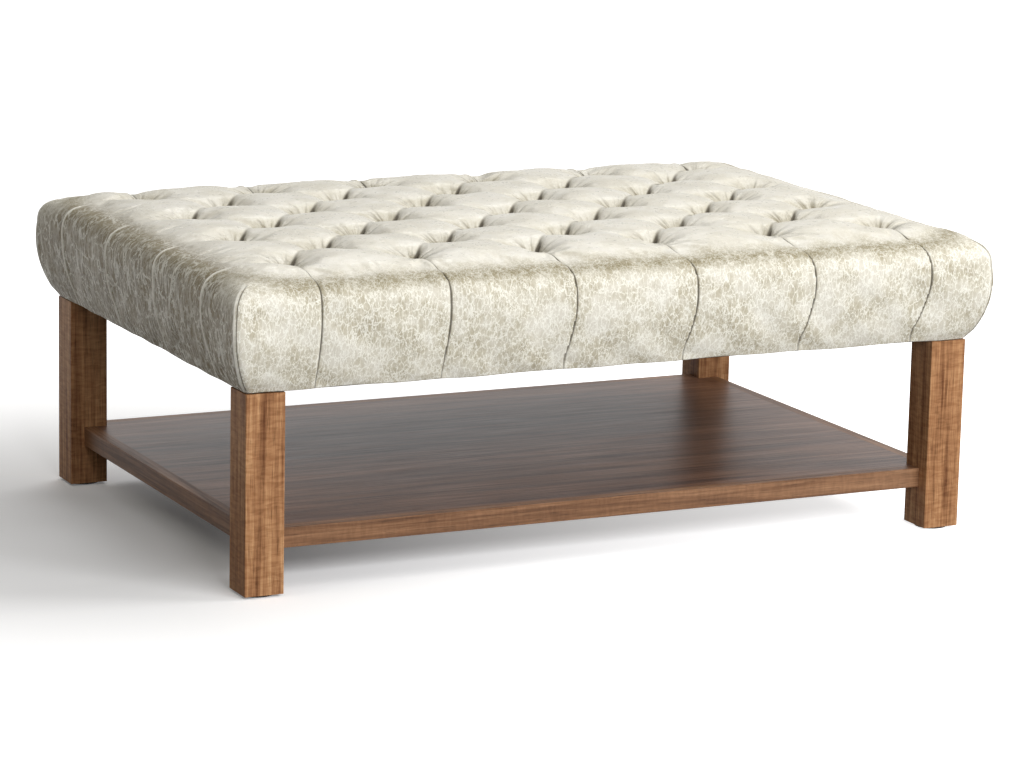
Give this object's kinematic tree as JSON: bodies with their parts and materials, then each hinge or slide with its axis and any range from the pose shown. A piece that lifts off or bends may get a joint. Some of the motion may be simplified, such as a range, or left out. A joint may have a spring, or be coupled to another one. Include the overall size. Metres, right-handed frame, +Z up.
{
  "type": "ottoman",
  "caption": "Rectangular bench-size ottoman with a deep diamond-tufted leather seat, square walnut legs and a notched walnut shelf between them.",
  "frame": {"origin": "on the floor, under the middle of the ottoman", "axes": "+X along the ottoman's length, +Y from its front to its back, +Z up"},
  "size_m": [1.24, 0.849, 0.4792],
  "materials": {
    "leg_wood": "walnut with a satin lacquer, cross figure on the front faces",
    "lipping_wood": "solid walnut edge strip, satin lacquer",
    "shelf_wood": "dark stained walnut veneer, semi-gloss lacquer",
    "frame_wood": "sawn hardwood, unfinished, hidden",
    "dowel_wood": "beech dowel, glued, hidden",
    "plywood": "sanded plywood, hidden",
    "leather": "aged crackle leather, pale greyed sage with olive-brown patina",
    "foam": "upholstery foam, hidden",
    "wadding": "polyester wadding, hidden",
    "twine": "waxed tufting twine, hidden",
    "fibre": "pressed fibre washer, hidden",
    "dust_cloth": "black non-woven dust cloth",
    "glide_plastic": "dark moulded plastic glide",
    "steel": "zinc plated steel"
  },
  "bodies": {
    "root": {"corner_post_back_left": "frame_wood", "corner_post_back_right": "frame_wood", "corner_post_front_left": "frame_wood", "corner_post_front_right": "frame_wood", "cover_tacks": "steel", "cross_rail_left": "frame_wood", "cross_rail_right": "frame_wood", "cross_rail_screws": "steel", "deck_screws": "steel", "dust_cover": "dust_cloth", "foam_pad": "foam", "frame_dowels": "dowel_wood", "glide_back_left": "glide_plastic", "glide_back_right": "glide_plastic", "glide_front_left": "glide_plastic", "glide_front_right": "glide_plastic", "glide_nails": "steel", "leather_cover": "leather", "leg_back_left": "leg_wood", "leg_back_right": "leg_wood", "leg_bolts": "steel", "leg_front_left": "leg_wood", "leg_front_right": "leg_wood", "seat_deck": "plywood", "seat_rail_back": "frame_wood", "seat_rail_front": "frame_wood", "seat_rail_left": "frame_wood", "seat_rail_right": "frame_wood", "shelf_dowels": "dowel_wood", "shelf_lipping_back": "lipping_wood", "shelf_lipping_front": "lipping_wood", "shelf_lipping_left": "lipping_wood", "shelf_lipping_right": "lipping_wood", "shelf_panel": "shelf_wood", "tee_nuts": "steel", "tuft_twines": "twine", "twine_washers": "fibre", "wadding": "wadding"}
  },
  "joints": []
}
